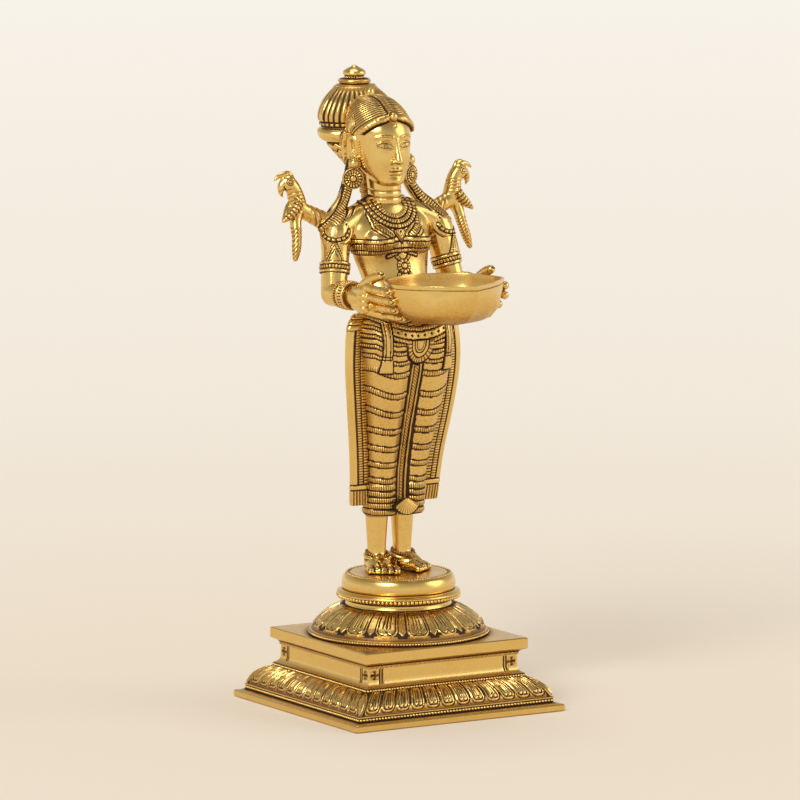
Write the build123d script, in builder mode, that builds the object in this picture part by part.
"""A brass deepalakshmi lamp: a standing lamp bearer on a stepped square plinth, holding an oil bowl.

The lamp is an assembly of hollow and solid castings. The plinth, the lotus dome and the beaded
collar stack up under a round footstool, and one threaded rod with a nut and a washer clamps that
stack. The figure is brazed up from separate castings, each coped or socketed into the next.
All sizes are in millimetres. Pieces are modelled about the plinth's upright axis, with the figure
facing -Y and its left hand on +X, and are moved so that the origin is at the centre of the footprint.
"""

import os
from math import cos, hypot, pi, radians, sin

from build123d import *

# Plinth, a square casting that is open underneath
plinth_side = 203.0
plinth_wall = 4.0
foot_slab_height = 5.5
lower_bead_height = 4.0
petal_band_height = 16.5
petal_band_flare = 13.5
upper_bead_height = 3.5
dado_inset = 29.2
dado_height = 14.5
cove_height = 4.5
top_slab_height = 9.3
top_slab_overhang = 6.4
top_slab_thickness = 5.0
petal_count = 12
petal_relief = 1.1
petal_corner = 4.4

# Round castings above the plinth
dome_radius = 75.2
dome_bead_height = 3.2
dome_rise = 24.5
dome_wall = 4.0
neck_radius = 45.4
neck_height = 6.0
collar_radius = 52.3
collar_height = 7.5
stool_radius = 47.7
stool_rim_radius = 43.8
stool_height = 13.5
stool_wall = 5.0

# Clamping rod, nut and washer under the plinth's top
rod_radius = 4.0
rod_clearance = 0.5
rod_boss_radius = 9.0
rod_thread_depth = 9.0
rod_tail = 14.0
nut_across_flats = 13.0
nut_height = 6.5
washer_radius = 17.0
washer_height = 2.5

# Legs and feet
ankle_half_spacing = 12.4
ankle_setback = 15.0
ankle_radius = 8.4
calf_radius = 11.0
foot_length = 39.0
foot_width = 25.0
foot_height = 12.0
foot_splay = 17.0
foot_advance = 4.0
anklet_radius = 11.2
anklet_wire = 2.1
toe_count = 5
foot_peg_radius = 4.0
foot_peg_depth = 7.0

# Draped skirt, from the hem to the waist
hem_height = 164.0
waist_height = 346.0
shin_socket_depth = 10.0
hem_half_width = 26.0
waist_half_width = 30.0
girdle_height = 15.0
girdle_relief = 1.8
medallion_radius = 12.5
medallion_relief = 2.8
strap_width = 7.0
strap_relief = 2.8
pleat_width = 8.0
pleat_relief = 3.0
fan_radius = 14.5

# Side drapes
drape_thickness = 7.0
drape_top = 333.0
drape_foot = 171.0
drape_width = 17.0

# Torso, neck and head
shoulder_height = 421.0
neck_column_radius = 14.5
neck_setback = 22.0
chin_height = 439.0
head_half_width = 25.5
head_half_depth = 28.0
head_setback = 30.0
head_height = 70.0
ear_rise = 28.0

# Hair bun and finial
bun_setback = 69.0
bun_half_width = 33.5
bun_half_depth = 26.0
bun_nape_rise = 1.0
bun_taper_height = 36.0
bun_dome_height = 42.0
bun_roll_radius = 5.0
bun_roll_overhang = 3.0
finial_collar_radius = 14.0
finial_collar_height = 5.0
finial_bulb_radius = 9.9
finial_bulb_height = 10.4
finial_stem_radius = 4.0
finial_stem_length = 10.0

# Ear ornaments
ear_disc_radius = 9.0
ear_disc_thickness = 3.2
ear_disc_height = 443.0
ear_stud_radius = 5.0
ear_stud_height = 455.5
ear_disc_turn = 25.0

# Arms and hands
shoulder_half_spacing = 49.0
shoulder_joint_height = 399.0
shoulder_joint_setback = 19.0
upper_arm_radius = 11.5
elbow_half_spacing = 58.0
elbow_setback = 8.0
elbow_height = 350.5
wrist_half_spacing = 56.0
wrist_advance = 20.0
wrist_height = 351.5
wrist_radius = 9.5
armlet_height = 6.5
armlet_flange = 1.3
bangle_radius = 12.6
bangle_width = 7.0
palm_thickness = 9.5
finger_radius = 3.7
finger_gap = 7.6
finger_count = 4

# Oil bowl, with a pinched lip for the wick
bowl_rim_height = 367.0
bowl_depth = 35.5
bowl_half_width = 51.5
bowl_setout = 76.0
bowl_back_reach = 49.0
bowl_tip_reach = 51.0
bowl_wall = 2.6
bowl_foot_radius = 17.0

# Parrots on the shoulder brackets
parrot_half_spacing = 82.0
parrot_setback = 40.0
parrot_height = 420.0
parrot_body_radius = 7.0
parrot_tail_foot = 378.0

# Braid down the back
braid_width = 15.0
braid_foot = 262.0
braid_bead_radius = 8.5

# Levels that follow from the sizes above
plinth_half = plinth_side / 2
dado_half = plinth_half - dado_inset
slab_half = dado_half + top_slab_overhang
plinth_height = (
    foot_slab_height
    + lower_bead_height
    + petal_band_height
    + upper_bead_height
    + dado_height
    + cove_height
    + top_slab_height
    + 3.0
)
dome_top = plinth_height + dome_rise
neck_top = dome_top + neck_height
collar_top = neck_top + collar_height
stool_top = collar_top + stool_height
bowl_front = bowl_setout + bowl_tip_reach
bowl_floor = bowl_rim_height - bowl_depth
crown_height = chin_height + head_height
ear_height = chin_height + ear_rise
bun_foot_height = chin_height + bun_nape_rise
bun_waist_height = bun_foot_height + bun_taper_height
bun_top_height = bun_waist_height + bun_dome_height
finial_collar_top = bun_top_height + finial_collar_height
total_height = finial_collar_top + finial_bulb_height
axis_y = (bowl_front - plinth_half) / 2


def save(solid, name):
    """Label a finished piece and write it, moved so that the footprint is centred on the origin."""
    moved = solid.moved(Location((0, axis_y, 0)))
    moved.label = name
    export_step(moved, f"parts/{name}.step")


def oval_points(half_x, half_y, centre_x=0.0, centre_y=0.0, count=8):
    """Points round an oval, for a closed spline outline."""
    turns = [2 * pi * i / count for i in range(count)]
    return [(centre_x + half_x * cos(a), centre_y + half_y * sin(a)) for a in turns]


def limb_plane(start, end, at):
    """A section plane square to the line from start to end, at the point given."""
    along = (Vector(end) - Vector(start)).normalized()
    side = Vector(0, 1, 0).cross(along) if abs(along.Y) < 0.8 else Vector(0, 0, 1).cross(along)
    return Plane(origin=at, x_dir=side.normalized(), z_dir=along)


def limb(*stations):
    """A limb lofted through stations, each an x, y, z and one radius or two half-widths."""
    points = [Vector(station[:3]) for station in stations]
    with BuildPart() as solid:
        for index, station in enumerate(stations):
            start = points[max(index - 1, 0)]
            end = points[min(index + 1, len(points) - 1)]
            with BuildSketch(limb_plane(start, end, points[index])):
                Ellipse(station[3], station[-1])
        loft()
    return solid.part


def mirrored(solid):
    """The left-hand copy of a piece made for the right-hand side."""
    return solid.mirror(Plane.YZ)


# Plinth: square levels joined by flat faces, hollow from below, with a hole for the rod
bead_1_top = foot_slab_height + 1.0 + lower_bead_height
petal_top = bead_1_top + petal_band_height
bead_2_top = petal_top + upper_bead_height
dado_top = bead_2_top + 2.0 + dado_height
petal_foot_half = dado_half + petal_band_flare + 6.0
moulding_levels = [
    (petal_foot_half + 1.6, bead_1_top + petal_band_height * 0.08),
    (petal_foot_half - 0.4, bead_1_top + petal_band_height * 0.42),
    (petal_foot_half - 2.6, bead_1_top + petal_band_height * 0.61),
    (petal_foot_half - 5.8, bead_1_top + petal_band_height * 0.78),
    (dado_half + 6.1, petal_top),
]
plinth_levels = [
    (plinth_half, 0.0),
    (plinth_half, foot_slab_height),
    (petal_foot_half + 3.0, foot_slab_height + 1.0),
    (petal_foot_half + 2.6, bead_1_top),
    *moulding_levels,
    (dado_half + 5.0, bead_2_top),
    (dado_half + 1.0, bead_2_top + 2.0),
    (dado_half, bead_2_top + 5.0),
    (dado_half, dado_top),
    (slab_half - 4.0, dado_top + cove_height * 0.6),
    (slab_half, dado_top + cove_height),
    (slab_half, plinth_height),
]
cavity_roof = plinth_height - top_slab_thickness

# Petals of the moulding: one side's row, cut from a skin that stands proud of the moulding
petal_foot = bead_1_top + petal_band_height * 0.17
foot_span = petal_foot_half + 1.6 - petal_corner
top_span = dado_half + 6.1 - petal_corner
foot_petal_half = 0.86 * foot_span / petal_count
top_petal_half = 0.86 * top_span / petal_count
with BuildPart() as petal_skin:
    for half, level in moulding_levels:
        with BuildSketch(Plane.XY.offset(level)):
            Rectangle(2 * (half + petal_relief), 2 * (half + petal_relief))
    loft(ruled=True)
with BuildPart() as petal_row:
    with BuildSketch(Plane.XZ.offset(dado_half)):
        for petal in range(petal_count):
            place = (2 * petal + 1) / petal_count - 1
            foot_x = place * foot_span
            top_x = place * top_span
            with BuildLine():
                Line((top_x - top_petal_half, petal_top), (top_x + top_petal_half, petal_top))
                Line(
                    (top_x + top_petal_half, petal_top),
                    (foot_x + foot_petal_half, petal_foot + foot_petal_half),
                )
                ThreePointArc(
                    (foot_x + foot_petal_half, petal_foot + foot_petal_half),
                    (foot_x, petal_foot),
                    (foot_x - foot_petal_half, petal_foot + foot_petal_half),
                )
                Line(
                    (foot_x - foot_petal_half, petal_foot + foot_petal_half),
                    (top_x - top_petal_half, petal_top),
                )
            make_face()
    extrude(amount=plinth_half - dado_half)
    add(petal_skin.part, mode=Mode.INTERSECT)

with BuildPart() as plinth:
    for half, level in plinth_levels:
        with BuildSketch(Plane.XY.offset(level)):
            Rectangle(2 * half, 2 * half)
    loft(ruled=True)
    for quarter in range(4):
        add(petal_row.part.rotate(Axis.Z, 90 * quarter))
    with BuildSketch(Plane.XY):
        Rectangle(2 * (plinth_half - 2 * plinth_wall), 2 * (plinth_half - 2 * plinth_wall))
    with BuildSketch(Plane.XY.offset(bead_2_top)):
        Rectangle(2 * (dado_half - plinth_wall), 2 * (dado_half - plinth_wall))
    loft(ruled=True, mode=Mode.SUBTRACT)
    with BuildSketch(Plane.XY.offset(bead_2_top)):
        Rectangle(2 * (dado_half - plinth_wall), 2 * (dado_half - plinth_wall))
    extrude(amount=cavity_roof - bead_2_top, mode=Mode.SUBTRACT)
    with Locations((0, 0, plinth_height)):
        Hole(rod_radius + rod_clearance, depth=2 * top_slab_thickness)
save(plinth.part, "plinth")

# Lotus dome: a turned shell with a beaded foot ring, resting on the plinth
dome_foot_inner = dome_radius - 2 * dome_wall
with BuildPart() as lotus_dome:
    with BuildSketch(Plane.XZ):
        with BuildLine():
            Polyline(
                (neck_radius - 2 * dome_wall, dome_top - dome_wall),
                (rod_boss_radius, dome_top - dome_wall),
                (rod_boss_radius, dome_top),
                (neck_radius + 1.5, dome_top),
            )
            Spline(
                (neck_radius + 1.5, dome_top),
                (dome_radius - 13.5, plinth_height + dome_rise * 0.68),
                (dome_radius - 2.2, plinth_height + dome_bead_height),
                tangents=[(1.0, -0.25), (0.2, -1.0)],
            )
            Polyline(
                (dome_radius - 2.2, plinth_height + dome_bead_height),
                (dome_radius, plinth_height + dome_bead_height),
                (dome_radius, plinth_height),
                (dome_foot_inner, plinth_height),
            )
            Spline(
                (dome_foot_inner, plinth_height),
                (dome_radius - 17.5, plinth_height + dome_rise * 0.5),
                (neck_radius - 2 * dome_wall, dome_top - dome_wall),
                tangents=[(-0.2, 1.0), (-1.0, 0.25)],
            )
        make_face()
    revolve(axis=Axis.Z)
    with Locations((0, 0, dome_top)):
        Hole(rod_radius + rod_clearance, depth=2 * dome_wall)
save(lotus_dome.part, "lotus_dome")

# Beaded collar: a short neck with a rounded bead ring, turned in one piece
with BuildPart() as bead_collar:
    with BuildSketch(Plane.XZ):
        with BuildLine():
            Polyline(
                (neck_radius, neck_top),
                (neck_radius - 1.0, neck_top - neck_height * 0.5),
                (neck_radius, dome_top),
                (rod_radius + rod_clearance, dome_top),
                (rod_radius + rod_clearance, collar_top),
                (collar_radius - 3.0, collar_top),
            )
            ThreePointArc(
                (collar_radius - 3.0, collar_top),
                (collar_radius, collar_top - collar_height * 0.5),
                (collar_radius - 3.0, neck_top),
            )
            Line((collar_radius - 3.0, neck_top), (neck_radius, neck_top))
        make_face()
    revolve(axis=Axis.Z)
save(bead_collar.part, "bead_collar")

# Footstool: a hollow cushion-shaped casting with a threaded boss and two peg sockets
with BuildPart() as footstool:
    with BuildSketch(Plane.XZ):
        with BuildLine():
            Polyline((0, stool_top), (0, collar_top), (stool_radius - 1.5, collar_top))
            Spline(
                (stool_radius - 1.5, collar_top),
                (stool_radius, collar_top + stool_height * 0.4),
                (stool_rim_radius, stool_top),
                tangents=[(0.6, 1.0), (-1.0, 0.35)],
            )
            Line((stool_rim_radius, stool_top), (0, stool_top))
        make_face()
    revolve(axis=Axis.Z)
    with BuildSketch(Plane.XY.offset(collar_top)):
        Circle(stool_rim_radius - stool_wall)
        Circle(rod_boss_radius, mode=Mode.SUBTRACT)
        with Locations(
            (ankle_half_spacing, ankle_setback),
            (-ankle_half_spacing, ankle_setback),
        ):
            Circle(foot_peg_radius + 3.0, mode=Mode.SUBTRACT)
    extrude(amount=stool_height - stool_wall, mode=Mode.SUBTRACT)
    with Locations((0, 0, collar_top)):
        Cylinder(
            rod_radius,
            rod_thread_depth,
            align=(Align.CENTER, Align.CENTER, Align.MIN),
            mode=Mode.SUBTRACT,
        )
    with Locations(
        (ankle_half_spacing, ankle_setback, stool_top),
        (-ankle_half_spacing, ankle_setback, stool_top),
    ):
        Hole(foot_peg_radius, depth=foot_peg_depth)
save(footstool.part, "footstool")

# Clamping rod, washer and nut
rod_foot = cavity_roof - washer_height - nut_height - rod_tail
with BuildPart() as clamp_rod:
    with BuildSketch(Plane.XY.offset(rod_foot)):
        Circle(rod_radius)
    extrude(amount=collar_top + rod_thread_depth - rod_foot)
    chamfer(clamp_rod.edges().group_by(Axis.Z)[0], length=0.8)
save(clamp_rod.part, "clamp_rod")

with BuildPart() as clamp_washer:
    with BuildSketch(Plane.XY.offset(cavity_roof - washer_height)):
        Circle(washer_radius)
        Circle(rod_radius + rod_clearance, mode=Mode.SUBTRACT)
    extrude(amount=washer_height)
save(clamp_washer.part, "clamp_washer")

with BuildPart() as clamp_nut:
    with BuildSketch(Plane.XY.offset(cavity_roof - washer_height - nut_height)):
        RegularPolygon(nut_across_flats / 2, 6, major_radius=False)
        Circle(rod_radius, mode=Mode.SUBTRACT)
    extrude(amount=nut_height)
save(clamp_nut.part, "clamp_nut")

# Foot: a sole and instep lofted from heel to toes, five toes, an anklet and the shin above it
splay = radians(foot_splay)
toe_pitch = foot_width / toe_count
shin_top = hem_height + shin_socket_depth


def foot_point(along, across):
    """A point on the stool's top, measured from the ankle along and across the right foot."""
    x = -ankle_half_spacing - along * sin(splay) - across * cos(splay)
    y = ankle_setback - along * cos(splay) + across * sin(splay)
    return (x, y, stool_top)


foot_sections = [
    (-10.0, 0.36, 0.75),
    (-4.0, 0.42, 1.15),
    (10.0, 0.46, 0.95),
    (foot_length * 0.55, 0.52, 0.55),
    (foot_length - 12.0, 0.52, 0.40),
]
with BuildPart() as foot:
    for along, half_share, height_share in foot_sections:
        half = foot_width * half_share
        height = foot_height * height_share
        heading = Vector(-sin(splay), -cos(splay), 0)
        section = Plane(
            origin=foot_point(along, 0.0), x_dir=Vector(0, 0, 1).cross(heading), z_dir=heading
        )
        with BuildSketch(section):
            with BuildLine():
                Line((half, 0), (-half, 0))
                Spline(
                    (-half, 0),
                    (-half * 0.75, height * 0.7),
                    (0, height),
                    (half * 0.75, height * 0.7),
                    (half, 0),
                )
            make_face()
    loft()
    for toe in range(toe_count):
        across = (toe - (toe_count - 1) / 2) * toe_pitch
        radius = toe_pitch * (0.62 - 0.05 * toe)
        reach = foot_length - 11.5 - 1.6 * toe
        x, y, z = foot_point(reach, across)
        with Locations((x, y, z + radius)):
            Sphere(radius)
        x, y, z = foot_point(reach - 4.0, across)
        with Locations((x, y, z + radius)):
            Sphere(radius)
    shin_levels = [
        (stool_top + 4.0, ankle_radius + 0.8),
        (stool_top + foot_height + 6.0, ankle_radius),
        (stool_top + foot_height + 18.0, ankle_radius + 0.4),
        (shin_top, calf_radius),
    ]
    for level, radius in shin_levels:
        with BuildSketch(Plane.XY.offset(level)):
            with Locations((-ankle_half_spacing, ankle_setback)):
                Circle(radius)
    loft()
    with Locations((-ankle_half_spacing, ankle_setback, stool_top + foot_height + 3.0)):
        Cylinder(anklet_radius, 2 * anklet_wire, rotation=(-8, 0, 0))
    with Locations((-ankle_half_spacing, ankle_setback, stool_top)):
        Box(200, 200, 40, align=(Align.CENTER, Align.CENTER, Align.MAX), mode=Mode.SUBTRACT)
        Cylinder(
            foot_peg_radius, foot_peg_depth, align=(Align.CENTER, Align.CENTER, Align.MAX)
        )
save(foot.part, "foot_right")
foot_left = mirrored(foot.part)
save(foot_left, "foot_left")

# Skirt: one casting round both legs, its sections two-lobed from the thighs down
skirt_levels = [
    (hem_height, 12.5, hem_half_width, 16.5, 9.0, 6.0),
    (hem_height + 36.0, 13.0, 28.0, 17.0, 6.5, 6.0),
    (hem_height + 70.0, 15.0, 32.5, 20.0, 1.0, 7.0),
    (hem_height + 100.0, 18.0, 37.0, 23.0, -4.0, 6.0),
    (hem_height + 130.0, 20.0, 41.0, 25.0, -8.0, 3.5),
    (hem_height + 152.0, 20.0, 42.0, 25.0, -9.0, 0.5),
    (waist_height - 12.0, 18.0, 36.0, 21.5, -6.0, 0.0),
    (waist_height, 14.0, waist_half_width, 18.5, -1.0, 0.0),
]


def skirt_outline(lobe, half_x, half_y, centre_y, fold):
    """Half of a two-lobed outline, from the front fold round the side to the back fold."""
    front = centre_y - half_y
    back = centre_y + half_y
    right = [
        (lobe, front),
        (lobe + 0.72 * (half_x - lobe), front + 0.3 * half_y),
        (half_x, centre_y),
        (lobe + 0.72 * (half_x - lobe), back - 0.3 * half_y),
        (lobe, back),
    ]
    left = [(-x, y) for x, y in reversed(right)]
    return [(0, front + fold)] + right + [(0, back - 0.6 * fold)] + left


def skirt_at(level):
    """The skirt's outline values at a level, between the levels it is drawn at."""
    for low, high in zip(skirt_levels, skirt_levels[1:]):
        if level <= high[0]:
            break
    share = (level - low[0]) / (high[0] - low[0])
    return tuple(a + (b - a) * share for a, b in zip(low[1:], high[1:]))


def valley_y(level):
    """How far forward the fold between the legs lies at a level."""
    lobe, half_x, half_y, centre_y, fold = skirt_at(level)
    return centre_y - half_y + fold


girdle_foot = waist_height - 37.5
medallion_level = girdle_foot - medallion_radius * 0.5
pleat_top = medallion_level - medallion_radius * 0.8
fan_top = hem_height + 13.0
pleat_levels = [fan_top + (pleat_top - fan_top) * step / 4 for step in range(5)]
strap_levels = [girdle_foot + girdle_height + 2.0, girdle_foot - 4.0, girdle_foot - 24.0]
pleat = limb(
    *(
        (0, valley_y(level) - pleat_relief + pleat_width / 2, level, pleat_width / 2)
        for level in pleat_levels
    )
)
strap_stations = []
for step, level in enumerate(strap_levels):
    lobe, half_x, half_y, centre_y, fold = skirt_at(level)
    half = strap_width / 2 * (1.0 + 0.1 * step)
    strap_stations.append((-0.72 * half_x, centre_y - 0.84 * half_y, level, half, strap_relief))
strap = limb(*strap_stations)
lobe, half_x, half_y, centre_y, fold = skirt_at(girdle_foot + girdle_height / 2)
girdle_outline = skirt_outline(lobe, half_x + girdle_relief, half_y + girdle_relief, centre_y, fold)
girdle_outline = girdle_outline[3:] + girdle_outline[:3]
with BuildPart() as skirt:
    for level, lobe, half_x, half_y, centre_y, fold in skirt_levels:
        with BuildSketch(Plane.XY.offset(level)):
            with BuildLine():
                Spline(*skirt_outline(lobe, half_x, half_y, centre_y, fold), periodic=True)
            make_face()
    loft()
    with BuildSketch(Plane.XY.offset(girdle_foot)):
        with BuildLine():
            Spline(*girdle_outline, periodic=True)
        make_face()
    extrude(amount=girdle_height)
    lobe, half_x, half_y, centre_y, fold = skirt_at(medallion_level)
    with BuildSketch(Plane.XZ.offset(half_y * 0.8 - centre_y)):
        with Locations((0, medallion_level)):
            Circle(medallion_radius)
    extrude(amount=half_y * 0.2 + medallion_relief)
    with BuildSketch(Plane.XZ):
        with BuildLine():
            Line((0, fan_top), (-fan_radius * 0.85, fan_top - fan_radius * 0.6))
            ThreePointArc(
                (-fan_radius * 0.85, fan_top - fan_radius * 0.6),
                (0, fan_top - fan_radius),
                (fan_radius * 0.85, fan_top - fan_radius * 0.6),
            )
            Line((fan_radius * 0.85, fan_top - fan_radius * 0.6), (0, fan_top))
        make_face()
    extrude(amount=10.5 + pleat_relief / 2)
    add(pleat)
    add(foot.part, mode=Mode.SUBTRACT)
    add(foot_left, mode=Mode.SUBTRACT)
    add(strap)
    add(mirrored(strap))
save(skirt.part, "skirt")

# Side drapes: the shawl's ends, hanging flat beside the legs
drape_levels = [
    (drape_foot, 44.0, drape_width, 8.0),
    (drape_foot + 40.0, 45.0, drape_width, 3.0),
    (drape_foot + 85.0, 51.5, drape_width, -4.0),
    (drape_foot + 120.0, 54.5, drape_width, -7.0),
    (drape_top - 12.0, 53.0, drape_width + 2.0, -6.0),
    (drape_top, 46.0, drape_width - 3.0, -4.0),
]
with BuildPart() as side_drape:
    for level, outer, width, centre_y in drape_levels:
        half = width / 2
        with BuildSketch(Plane.XY.offset(level)):
            with BuildLine():
                Spline(
                    *oval_points(half, drape_thickness / 2, half - outer, centre_y),
                    periodic=True,
                )
            make_face()
    loft()
save(side_drape.part - skirt.part, "side_drape_right")
save(mirrored(side_drape.part) - skirt.part, "side_drape_left")

# Torso: waist, ribs and bust up to the shoulders, closed at the neck
torso_levels = [
    (waist_height, waist_half_width, 18.5, -1.0),
    (waist_height + 14.0, 31.0, 18.5, 6.0),
    (waist_height + 30.0, 35.0, 20.0, 12.0),
    (waist_height + 46.0, 39.0, 20.5, 15.5),
    (waist_height + 58.0, 45.0, 19.5, 18.0),
    (shoulder_height - 8.0, 41.0, 16.5, 20.5),
    (shoulder_height, 26.0, 15.0, neck_setback),
]
bust_radius = 14.5
with BuildPart() as neck_tool:
    with BuildSketch(Plane.XY.offset(shoulder_height - 9.0)):
        with Locations((0, neck_setback)):
            Circle(neck_column_radius)
    extrude(amount=9.5)
hair_lock = limb(
    (-23.5, 38.0, 458.0, 4.0),
    (-28.0, 35.0, 441.0, 6.0),
    (-38.0, 30.0, 421.0, 6.5),
    (-50.0, 25.0, 410.5, 6.5),
    (-61.0, 22.0, 401.0, 4.5),
)
with BuildPart() as torso:
    for level, half_x, half_y, centre_y in torso_levels:
        with BuildSketch(Plane.XY.offset(level)):
            with BuildLine():
                Spline(*oval_points(half_x, half_y, 0, centre_y), periodic=True)
            make_face()
    loft()
    with Locations((17.5, 7.5, waist_height + 46.0), (-17.5, 7.5, waist_height + 46.0)):
        Sphere(bust_radius)
    add(hair_lock)
    add(mirrored(hair_lock))
    add(neck_tool.part, mode=Mode.SUBTRACT)
save(torso.part, "torso")

# Upper arm: shoulder cap down to the elbow, with an armlet ring, socketed into the torso
shoulder = (-shoulder_half_spacing, shoulder_joint_setback, shoulder_joint_height)
elbow = (-elbow_half_spacing, elbow_setback, elbow_height)
wrist = (-wrist_half_spacing, -wrist_advance, wrist_height)


def between(start, end, share):
    """The point that lies the given share of the way from start to end."""
    return tuple(a + (b - a) * share for a, b in zip(start, end))


with BuildPart() as upper_arm:
    add(
        limb(
            (*shoulder, 13.2),
            (*between(shoulder, elbow, 0.3), upper_arm_radius + 0.6),
            (*between(shoulder, elbow, 0.7), upper_arm_radius),
            (*elbow, 10.8),
        )
    )
    with Locations(shoulder):
        Sphere(13.2)
    with Locations(elbow):
        Sphere(11.2)
    with BuildSketch(limb_plane(shoulder, elbow, between(shoulder, elbow, 0.66))):
        Circle(upper_arm_radius + armlet_flange)
    extrude(amount=armlet_height)
upper_arm_right = upper_arm.part - torso.part
upper_arm_left = mirrored(upper_arm.part) - torso.part
save(upper_arm_right, "upper_arm_right")
save(upper_arm_left, "upper_arm_left")

# Forearm: elbow to wrist, ending in the bangles, coped onto the elbow
wrist_plane = limb_plane(elbow, wrist, wrist)
with BuildPart() as forearm:
    add(limb((*elbow, 11.0), (*between(elbow, wrist, 0.5), 10.8), (*wrist, wrist_radius)))
    with BuildSketch(wrist_plane.offset(-bangle_width)):
        Circle(bangle_radius)
    extrude(amount=bangle_width)
forearm_right = forearm.part - upper_arm_right
forearm_left = mirrored(forearm.part) - upper_arm_left
save(forearm_right, "forearm_right")
save(forearm_left, "forearm_left")

# Bowl: levels from the small foot to the pinched rim, hollowed by the same levels drawn in
bowl_levels = [
    (0.0, 0.0, 0.0),
    (0.10, 0.42, 0.0),
    (0.35, 0.76, 0.15),
    (0.65, 0.93, 0.6),
    (1.0, 1.0, 1.0),
]


def bowl_outline(spread, pinch, inset):
    """The bowl's outline at one level: round at the back, drawn to a point at the wick's lip."""
    half = bowl_foot_radius + (bowl_half_width - bowl_foot_radius) * spread - inset
    back = bowl_foot_radius + (bowl_back_reach - bowl_foot_radius) * spread - inset
    tip = bowl_foot_radius + (bowl_tip_reach - bowl_foot_radius) * spread - inset
    round_side = (0.74 * half, -0.7 * tip)
    pinched_side = (0.50 * half, -0.67 * tip)
    side = tuple(r + (p - r) * pinch for r, p in zip(round_side, pinched_side))
    flank = (0.97 * half, -0.22 * tip)
    return (0, -tip), side, flank, (half, 0.10 * back), (0.72 * half, 0.70 * back), (0, back)


with BuildPart() as bowl_block:
    for rise, spread, pinch in bowl_levels:
        path = bowl_outline(spread, pinch, 0.0)
        with BuildSketch(Plane((0, -bowl_setout, bowl_floor + bowl_depth * rise))):
            with BuildLine():
                Spline(*path, tangents=[(1, 0.6), (-1, 0)])
                Line(path[-1], path[0])
            make_face()
    loft()
    mirror(about=Plane.YZ)
with BuildPart() as bowl_hollow:
    for rise, spread, pinch in bowl_levels:
        path = bowl_outline(spread, pinch, bowl_wall)
        inner_rise = bowl_wall + (bowl_depth - bowl_wall) * rise
        with BuildSketch(Plane((0, -bowl_setout, bowl_floor + inner_rise))):
            with BuildLine():
                Spline(*path, tangents=[(1, 0.6), (-1, 0)])
                Line(path[-1], path[0])
            make_face()
    loft()
    mirror(about=Plane.YZ)
bowl = bowl_block.part - bowl_hollow.part
save(bowl, "bowl")

# Hand: a palm along the bowl's side, four fingers wrapped under it and a thumb on the rim
def bowl_half_at(level):
    """The bowl's half-width at a level, between the levels its outline is drawn at."""
    rise = (level - bowl_floor) / bowl_depth
    for (low, low_spread, _), (high, high_spread, _) in zip(bowl_levels, bowl_levels[1:]):
        if rise <= high:
            share = low_spread + (high_spread - low_spread) * (rise - low) / (high - low)
            break
    return bowl_foot_radius + (bowl_half_width - bowl_foot_radius) * share


knuckle_y = -46.0
with BuildPart() as hand:
    add(
        limb(
            (*between(wrist, elbow, 0.15), 8.0, 8.0),
            (*wrist, 8.5, 9.0),
            (-57.5, -31.0, 351.5, 7.0, 12.5),
            (-58.0, -44.0, 351.0, 5.5, 14.5),
        )
    )
    for finger in range(finger_count):
        level = bowl_rim_height - 6.5 - finger_gap * finger
        side = bowl_half_at(level)
        reach = 3.0 * abs(finger - 1)
        add(
            limb(
                (-57.5, knuckle_y + 8.0, 351.0 + (level - 351.0) * 0.75, finger_radius + 0.8),
                (-(side + 7.5), knuckle_y - 5.0, level, finger_radius + 0.5),
                (-(side + 3.4), -64.0, level, finger_radius + 0.2),
                (-(side + 2.6), -76.0 + reach, level, finger_radius),
            )
        )
        with Locations((-(side + 2.6), -76.0 + reach, level)):
            Sphere(finger_radius + 0.5)
    add(limb((-56, -29, 355, 5.0), (-54.5, -41, 365, 4.6), (-51, -54, 370.0, 3.9)))
    with Locations((-51, -54, 370.0)):
        Sphere(4.3)
    split(bisect_by=wrist_plane, keep=Keep.TOP)
hand_right = hand.part - bowl_block.part
hand_left = mirrored(hand.part) - bowl_block.part
save(hand_right, "hand_right")
save(hand_left, "hand_left")

# Head and neck: the neck seats in the torso, and the ears stand off the sides
head_levels = [
    (chin_height - 1.0, 9.5, 9.5, 13.5),
    (chin_height + head_height * 0.07, 15.5, 15.0, 19.0),
    (chin_height + head_height * 0.19, 21.0, 21.5, 24.5),
    (chin_height + head_height * 0.33, 24.5, 26.0, 28.0),
    (chin_height + head_height * 0.49, head_half_width, head_half_depth, head_setback),
    (chin_height + head_height * 0.64, head_half_width, head_half_depth, head_setback + 1.5),
    (chin_height + head_height * 0.79, 23.0, 25.0, head_setback + 5.0),
    (chin_height + head_height * 0.90, 18.5, 18.5, head_setback + 9.0),
    (chin_height + head_height * 0.98, 11.5, 11.5, head_setback + 12.0),
    (crown_height, 5.0, 5.0, head_setback + 14.0),
]
bun_seat = Plane(origin=(0, bun_setback - 19.0, 0), z_dir=(0, 1, 0))
with BuildPart() as head_casting:
    for level, half_x, half_y, centre_y in head_levels:
        with BuildSketch(Plane.XY.offset(level)):
            with BuildLine():
                Spline(*oval_points(half_x, half_y, 0, centre_y), periodic=True)
            make_face()
    loft()
    with BuildSketch(Plane.XY.offset(shoulder_height - 9.0)):
        with Locations((0, neck_setback)):
            Circle(neck_column_radius)
    extrude(amount=chin_height + 14.0 - shoulder_height)
    add(limb((0, 5.0, ear_height + 4, 2.8), (0, 2.0, ear_height - 3, 3.8), (0, 3.5, ear_height - 9, 4.6)))
    for side in (-1, 1):
        add(limb((side * 25, 34, ear_height + 7, 3.6), (side * 26.3, 30, ear_height - 7, 3.0)))
    split(bisect_by=bun_seat, keep=Keep.BOTTOM)
head = head_casting.part - torso.part
save(head, "head")

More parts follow.
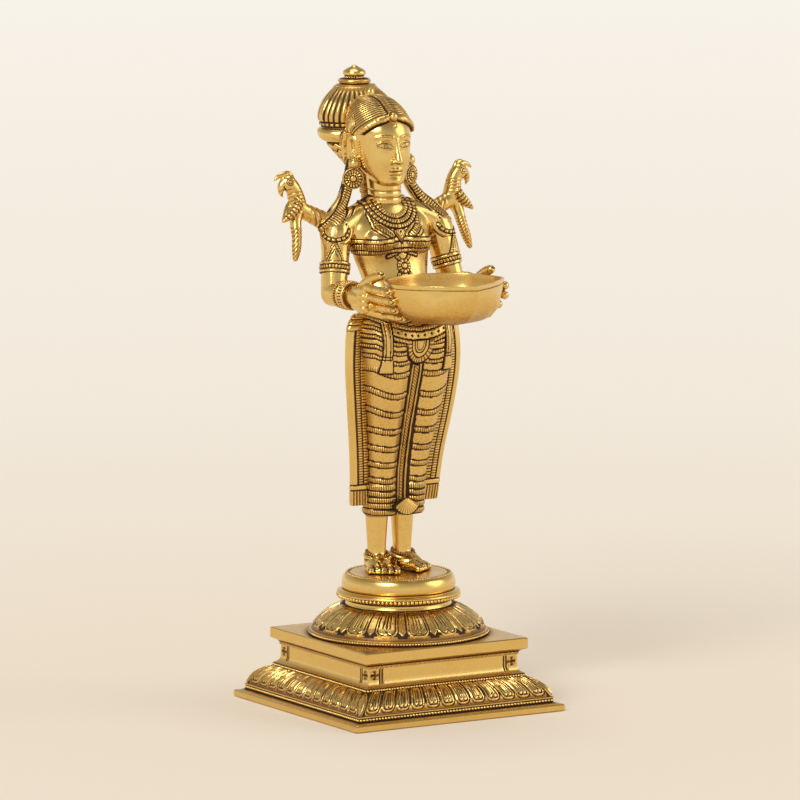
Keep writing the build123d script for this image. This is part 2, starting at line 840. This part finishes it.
# Hair bun: a domed bun with a rolled waist, tapering to the nape, brazed to the back of the head
bun_levels = [
    (bun_foot_height, 9.0, 7.0, bun_setback - 20.0),
    (bun_foot_height + bun_taper_height * 0.42, 20.0, 13.0, bun_setback - 13.0),
    (bun_foot_height + bun_taper_height * 0.78, 29.0, 20.0, bun_setback - 6.0),
    (bun_waist_height + bun_dome_height * 0.14, 32.0, 24.0, bun_setback - 1.0),
    (bun_waist_height + bun_dome_height * 0.40, bun_half_width, bun_half_depth, bun_setback),
    (bun_waist_height + bun_dome_height * 0.67, 28.5, 23.5, bun_setback),
    (bun_top_height, finial_collar_radius - 1.0, finial_collar_radius - 2.0, bun_setback + 3.0),
]
with BuildPart() as hair_bun:
    for level, half_x, half_y, centre_y in bun_levels:
        with BuildSketch(Plane.XY.offset(level)):
            with BuildLine():
                Spline(*oval_points(half_x, half_y, 0, centre_y), periodic=True)
            make_face()
    loft()
    with BuildSketch(Plane.XY.offset(bun_waist_height - bun_roll_radius)):
        with BuildLine():
            Spline(
                *oval_points(
                    bun_half_width + bun_roll_overhang, bun_half_depth + 0.5, 0, bun_setback - 2.5
                ),
                periodic=True,
            )
        make_face()
    extrude(amount=2 * bun_roll_radius)
    fillet(
        hair_bun.edges().filter_by(lambda e: e.bounding_box().size.X > 2.1 * bun_half_width),
        radius=bun_roll_radius * 0.7,
    )
    with Locations((0, bun_setback + 3.0, bun_top_height)):
        Box(90, 90, 20, align=(Align.CENTER, Align.CENTER, Align.MIN), mode=Mode.SUBTRACT)
        Cylinder(
            finial_stem_radius,
            finial_stem_length,
            align=(Align.CENTER, Align.CENTER, Align.MAX),
            mode=Mode.SUBTRACT,
        )
    split(bisect_by=bun_seat, keep=Keep.TOP)
save(hair_bun.part, "hair_bun")

# Finial: collar, onion bulb and tip, turned in one piece with the stem that seats in the bun
bulb_foot = finial_collar_top + 1.2
bulb_height = finial_bulb_height - 2.0
with BuildPart() as finial:
    with BuildSketch(Plane.XZ):
        with BuildLine():
            Polyline(
                (0, total_height),
                (0, bun_top_height - finial_stem_length),
                (finial_stem_radius, bun_top_height - finial_stem_length),
                (finial_stem_radius, bun_top_height),
                (finial_collar_radius - 1.5, bun_top_height),
            )
            ThreePointArc(
                (finial_collar_radius - 1.5, bun_top_height),
                (finial_collar_radius, bun_top_height + finial_collar_height / 2),
                (finial_collar_radius - 1.5, finial_collar_top),
            )
            Line(
                (finial_collar_radius - 1.5, finial_collar_top),
                (6.0, bulb_foot),
            )
            Spline(
                (6.0, bulb_foot),
                (finial_bulb_radius, bulb_foot + bulb_height * 0.34),
                (3.2, bulb_foot + bulb_height * 0.72),
                (0, total_height),
                tangents=[(1.0, 0.35), (-0.25, 1.0)],
            )
        make_face()
    revolve(axis=Axis.Z)
finial_place = Location((0, bun_setback + 3.0, 0))
save(finial.part.moved(finial_place), "finial")

# Braid: lobes down the back, from the nape to a hanging bead
braid_line = [
    (bun_foot_height + 8.0, 57.0),
    (bun_foot_height - 10.0, 49.0),
    (shoulder_height - 6.0, 43.5),
    (waist_height + 45.0, 42.0),
    (waist_height + 29.0, 38.5),
    (waist_height + 14.0, 31.0),
    (waist_height, 24.5),
    (waist_height - 14.0, 21.5),
    (braid_foot, 20.5),
]


def braid_y(level):
    """How far back the braid hangs at a level."""
    for (high, high_y), (low, low_y) in zip(braid_line, braid_line[1:]):
        if level >= low:
            return low_y + (high_y - low_y) * (level - low) / (high - low)
    return braid_line[-1][1]


lobe_pitch = braid_width * 0.55
lobe_count = int((braid_line[0][0] - braid_foot) / lobe_pitch)
with BuildPart() as braid:
    for lobe in range(lobe_count + 1):
        level = braid_line[0][0] - lobe_pitch * lobe
        with Locations((0, braid_y(level), level)):
            Sphere(braid_width / 2 * (1.0 - 0.25 * lobe / lobe_count))
    with Locations((0, braid_y(braid_foot), braid_foot - 6.0)):
        Sphere(braid_bead_radius)
braid_coped = braid.part - skirt.part - torso.part - hair_bun.part
braid_seated = braid_coped.solids().sort_by(SortBy.VOLUME)[-1]
save(braid_seated, "braid")

# Earring: a stud on the lobe with a large disc hanging under it, turned a little outward
with BuildPart() as earring:
    with Locations((-27.0, 26.5, ear_stud_height)):
        Sphere(ear_stud_radius)
    face = Plane(
        origin=(-28.0, 27.0, ear_disc_height),
        z_dir=(-sin(radians(ear_disc_turn)), -cos(radians(ear_disc_turn)), 0),
    )
    with BuildSketch(face.offset(-ear_disc_thickness / 2)):
        Circle(ear_disc_radius)
    extrude(amount=ear_disc_thickness)
    with BuildSketch(face.offset(ear_disc_thickness / 2)):
        Circle(ear_disc_radius * 0.45)
    extrude(amount=1.2)
save(earring.part - head - torso.part, "earring_right")
save(mirrored(earring.part) - head - torso.part, "earring_left")

# Parrot: a bracket from the shoulder, an arched neck, crest, beak, wing and long hanging tail
with BuildPart() as parrot:
    add(
        limb(
            (-50.0, 33.0, 407.0, 9.0),
            (-62.0, 37.0, 413.5, 7.4),
            (-72.0, 38.0, 419.0, parrot_body_radius),
            (-76.0, 38.5, 428.0, 7.4),
            (-78.0, 39.5, 436.0, 6.8),
            (-parrot_half_spacing - 1.0, parrot_setback, 442.0, 6.2),
        )
    )
    with Locations((-parrot_half_spacing - 1.5, parrot_setback, 441.0)):
        Sphere(7.0)
    add(limb((-86.0, 40.0, 442.0, 5.2), (-89.8, 39.5, 436.0, 3.8), (-90.0, 39.0, 430.5, 1.6)))
    add(limb((-83.0, 40.2, 447.0, 2.4), (-89.0, 40.6, 447.6, 2.8), (-95.0, 41.0, 445.0, 2.0)))
    add(
        limb(
            (-76.0, 38.0, 418.0, 7.0),
            (-79.0, 35.0, 410.0, 5.2),
            (-80.8, 29.5, 397.0, 4.2),
            (-83.0, 26.5, 387.0, 4.0),
            (-85.0, 25.0, 379.0, 2.0),
        )
    )
    add(
        limb(
            (-76.5, 36.0, 428.0, 2.5, 2.5),
            (-80.0, 35.0, 423.5, 3.2, 6.8),
            (-85.0, 34.0, 417.5, 3.0, 6.4),
            (-92.0, 32.5, 410.5, 1.5, 1.8),
        )
    )
save(parrot.part - torso.part - upper_arm_right, "parrot_right")
save(mirrored(parrot.part) - torso.part - upper_arm_left, "parrot_left")
